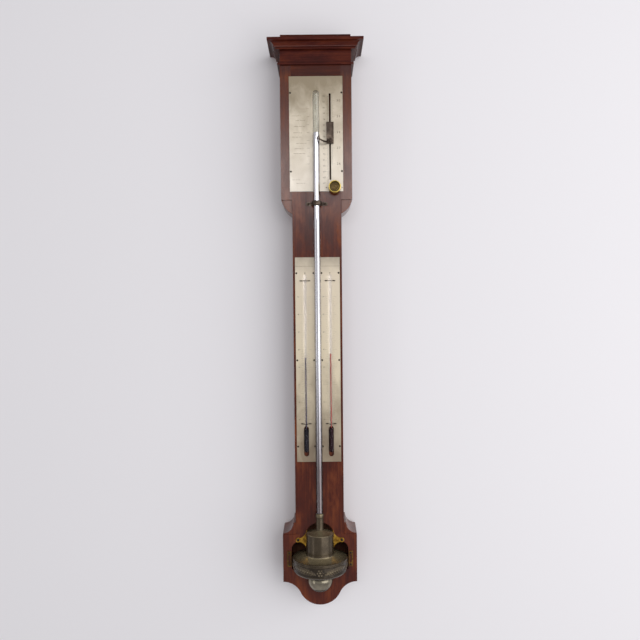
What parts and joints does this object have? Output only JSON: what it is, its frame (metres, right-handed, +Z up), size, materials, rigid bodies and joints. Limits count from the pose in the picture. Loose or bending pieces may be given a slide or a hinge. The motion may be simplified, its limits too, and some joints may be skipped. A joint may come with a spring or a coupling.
{
  "type": "stick_barometer",
  "caption": "Wall-hung mahogany stick barometer with a rack-driven vernier on a silvered register, paired thermometers and an exposed glass tube in a wide metal cistern.",
  "frame": {"origin": "centre of the hanging hole in the hanger plate, on the wall plane at the back of the case", "axes": "+X to the right seen from the front, +Y into the wall (the front faces -Y), +Z up the case"},
  "size_m": [0.165, 0.1229, 1.0035],
  "materials": {
    "mahogany": "old polished mahogany, worn shellac",
    "silvered_brass": "silvered brass, yellowed lacquer",
    "brass": "lacquered brass, darkened in the hollows",
    "bronze": "dark bronzed brass, worn on its edges",
    "steel": "browned steel",
    "glass": "clear drawn glass",
    "mercury": "liquid mercury",
    "spirit": "red dyed spirit",
    "leather": "dark leather"
  },
  "bodies": {
    "case": {"trunk_board": "mahogany", "side_rail_left": "mahogany", "side_rail_right": "mahogany", "back_panel": "mahogany", "base_board": "mahogany", "base_block_left": "mahogany", "base_block_right": "mahogany", "foot_block": "mahogany", "base_cove_left": "mahogany", "base_cove_right": "mahogany", "head_stile_left": "mahogany", "head_stile_right": "mahogany", "head_bracket_left": "mahogany", "head_bracket_right": "mahogany", "head_rail": "mahogany", "necking": "mahogany", "frieze": "mahogany", "cornice_front": "mahogany", "cornice_left": "mahogany", "cornice_right": "mahogany", "cap_board": "mahogany", "hanger_plate": "brass", "hanger_screws": "steel", "register_plate": "silvered_brass", "register_screws": "steel", "arbor_bush": "brass", "pinion_cock": "brass", "cock_screws": "steel", "rack_cover": "mahogany", "thermometer_plate_left": "silvered_brass", "thermometer_plate_right": "silvered_brass", "thermometer_screws": "steel", "thermometer_ties": "steel", "mercury_thermometer": "glass", "spirit_thermometer": "glass", "mercury_bulb_filling": "mercury", "spirit_bulb_filling": "spirit", "barometer_tube": "glass", "tube_clip": "bronze", "clip_lining": "leather", "clip_screws": "steel", "cistern_socket": "bronze", "cistern_drum": "bronze", "cistern_bowl": "bronze", "cistern_boss": "bronze", "cistern_mercury": "mercury", "cistern_lugs": "brass", "lug_screws": "steel", "catch_plates": "brass", "catch_screws": "steel"},
    "slider": {"vernier_slider": "bronze", "rack": "brass", "rack_rivets": "steel", "pointer_arm": "bronze", "pointer_screw": "bronze"},
    "knob": {"knob": "brass", "pinion_arbor": "brass"},
    "mercury": {"mercury_column": "mercury"},
    "mercury_thread": {"mercury_thread": "mercury"},
    "spirit_thread": {"spirit_thread": "spirit"}
  },
  "joints": [
    {"name": "knob_turn", "type": "hinge", "parent": "case", "child": "knob", "pos_m": [0.0314, -0.07, -0.165], "axis": [0, 1, 0], "range_deg": [-840, 680]},
    {"name": "vernier_slide", "type": "slide", "parent": "case", "child": "slider", "axis": [0, 0, 1], "range_m": [-0.0618, 0.05]},
    {"name": "mercury_rise", "type": "slide", "parent": "case", "child": "mercury", "axis": [0, 0, 1], "range_m": [-0.03, 0.03]},
    {"name": "mercury_thread_rise", "type": "slide", "parent": "case", "child": "mercury_thread", "axis": [0, 0, 1], "range_m": [-0.016, 0.016]},
    {"name": "spirit_thread_rise", "type": "slide", "parent": "case", "child": "spirit_thread", "axis": [0, 0, 1], "range_m": [-0.016, 0.016]}
  ],
  "couplings": [
    {"joint": "vernier_slide", "follows": "knob_turn", "m_per_rad": 0.0042}
  ]
}
